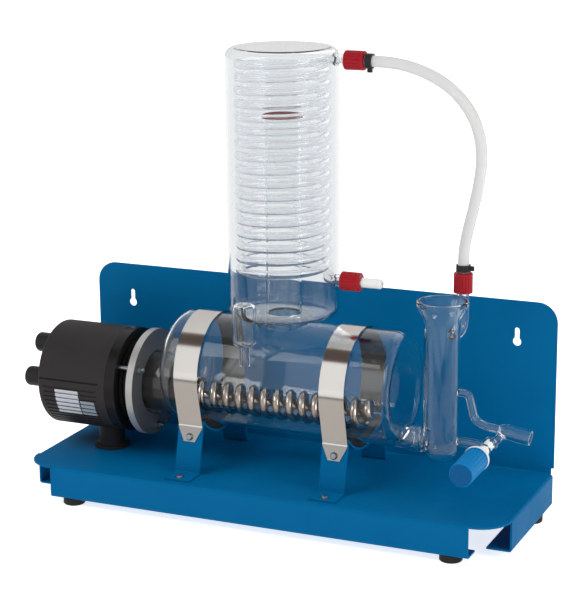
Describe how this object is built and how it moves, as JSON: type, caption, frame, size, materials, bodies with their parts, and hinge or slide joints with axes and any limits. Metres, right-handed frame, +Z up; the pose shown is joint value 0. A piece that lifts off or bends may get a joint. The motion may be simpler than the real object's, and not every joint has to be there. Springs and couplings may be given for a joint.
{
  "type": "glass water distiller",
  "caption": "Bench glass water still: electrically heated horizontal boiler, coil condenser, constant level device with drain tap, and hose, on a folded blue steel stand.",
  "frame": {"origin": "middle of the footprint, on the surface the feet stand on", "axes": "+X along the boiler, from the heater towards the level device; +Y towards the back panel; +Z up"},
  "size_m": [0.5746, 0.186, 0.5],
  "materials": {
    "stand_paint": "smooth satin blue powder coat",
    "cradle_paint": "smooth satin blue powder coat",
    "rubber": "matt black rubber",
    "screw_steel": "plated screw steel",
    "strap_steel": "bright stainless strip",
    "glass": "clear borosilicate glass",
    "red_plastic": "moulded red plastic",
    "white_plastic": "white fluoropolymer",
    "silicone": "translucent silicone rubber",
    "clear_sleeve": "clear flexible tubing",
    "clip_plastic": "black plastic hose clip",
    "knob_plastic": "moulded blue plastic",
    "element_metal": "bright nickel-plated sheath",
    "flange_metal": "turned gunmetal-grey metal",
    "cover_plastic": "textured black plastic",
    "reset_plastic": "black moulded plastic",
    "button_plastic": "red moulded plastic"
  },
  "bodies": {
    "still": {"stand": "stand_paint", "cradle_left": "cradle_paint", "cradle_right": "cradle_paint", "foot_front_left": "rubber", "foot_front_right": "rubber", "foot_rear_left": "rubber", "foot_rear_right": "rubber", "saddle_pad_left": "rubber", "saddle_pad_right": "rubber", "lead_boot": "rubber", "neck_seal": "rubber", "foot_screws": "screw_steel", "foot_nuts": "screw_steel", "strap_screws": "screw_steel", "strap_nuts": "screw_steel", "cradle_screws": "screw_steel", "cradle_nuts": "screw_steel", "clamp_studs": "screw_steel", "clamp_nuts": "screw_steel", "strap_left": "strap_steel", "strap_right": "strap_steel", "boiler_glass": "glass", "condenser_jacket": "glass", "vapour_tube": "glass", "condenser_coil": "glass", "level_device": "glass", "level_link": "glass", "level_supply": "glass", "level_drain": "glass", "vapour_tube_ring": "red_plastic", "inlet_nozzle": "white_plastic", "outlet_nozzle": "white_plastic", "level_nozzle": "white_plastic", "cooling_hose": "silicone", "inlet_seal": "silicone", "outlet_seal": "silicone", "level_seal": "silicone", "link_sleeve": "clear_sleeve", "hose_clip_upper": "clip_plastic", "hose_clip_lower": "clip_plastic", "heater_element": "element_metal", "clamp_ring": "flange_metal", "heater_head": "flange_metal", "heater_cover": "cover_plastic", "cover_base": "cover_plastic", "terminal_block": "cover_plastic", "boot_nut": "cover_plastic", "cutout_upper": "reset_plastic", "cutout_lower": "reset_plastic"},
    "outlet_cap": {"outlet_cap": "red_plastic"},
    "inlet_cap": {"inlet_cap": "red_plastic"},
    "level_cap": {"level_cap": "red_plastic"},
    "tap_handle": {"tap_key": "white_plastic", "tap_knob": "knob_plastic", "tap_seals": "silicone"},
    "reset_cap_upper": {"reset_cap_upper": "reset_plastic"},
    "reset_cap_lower": {"reset_cap_lower": "reset_plastic"},
    "reset_button_upper": {"reset_button_upper": "button_plastic"},
    "reset_button_lower": {"reset_button_lower": "button_plastic"}
  },
  "joints": [
    {"name": "outlet_cap_turn", "type": "hinge", "parent": "still", "child": "outlet_cap", "pos_m": [0.09285, 0.005, 0.489], "axis": [1, 0, 0], "range_deg": [0, 360]},
    {"name": "inlet_cap_turn", "type": "hinge", "parent": "still", "child": "inlet_cap", "pos_m": [0.08845, 0.005, 0.2575], "axis": [1, 0, 0], "range_deg": [0, 360]},
    {"name": "level_cap_turn", "type": "hinge", "parent": "still", "child": "level_cap", "pos_m": [0.19935, 0.04, 0.2585], "axis": [0, 0, 1], "range_deg": [0, 360]},
    {"name": "tap_turn", "type": "hinge", "parent": "still", "child": "tap_handle", "pos_m": [0.24035, 0.005, 0.095], "axis": [0, -0.9994, -0.0349], "range_deg": [0, 540]},
    {"name": "reset_cap_upper_off", "type": "slide", "parent": "still", "child": "reset_cap_upper", "axis": [-1, 0, 0], "range_m": [0, 0.025]},
    {"name": "reset_button_upper_press", "type": "slide", "parent": "still", "child": "reset_button_upper", "axis": [1, 0, 0], "range_m": [0, 0.002], "stiffness_N_per_m": 500, "springref_m": -0.001},
    {"name": "reset_cap_lower_off", "type": "slide", "parent": "still", "child": "reset_cap_lower", "axis": [-1, 0, 0], "range_m": [0, 0.025]},
    {"name": "reset_button_lower_press", "type": "slide", "parent": "still", "child": "reset_button_lower", "axis": [1, 0, 0], "range_m": [0, 0.002], "stiffness_N_per_m": 500, "springref_m": -0.001}
  ]
}
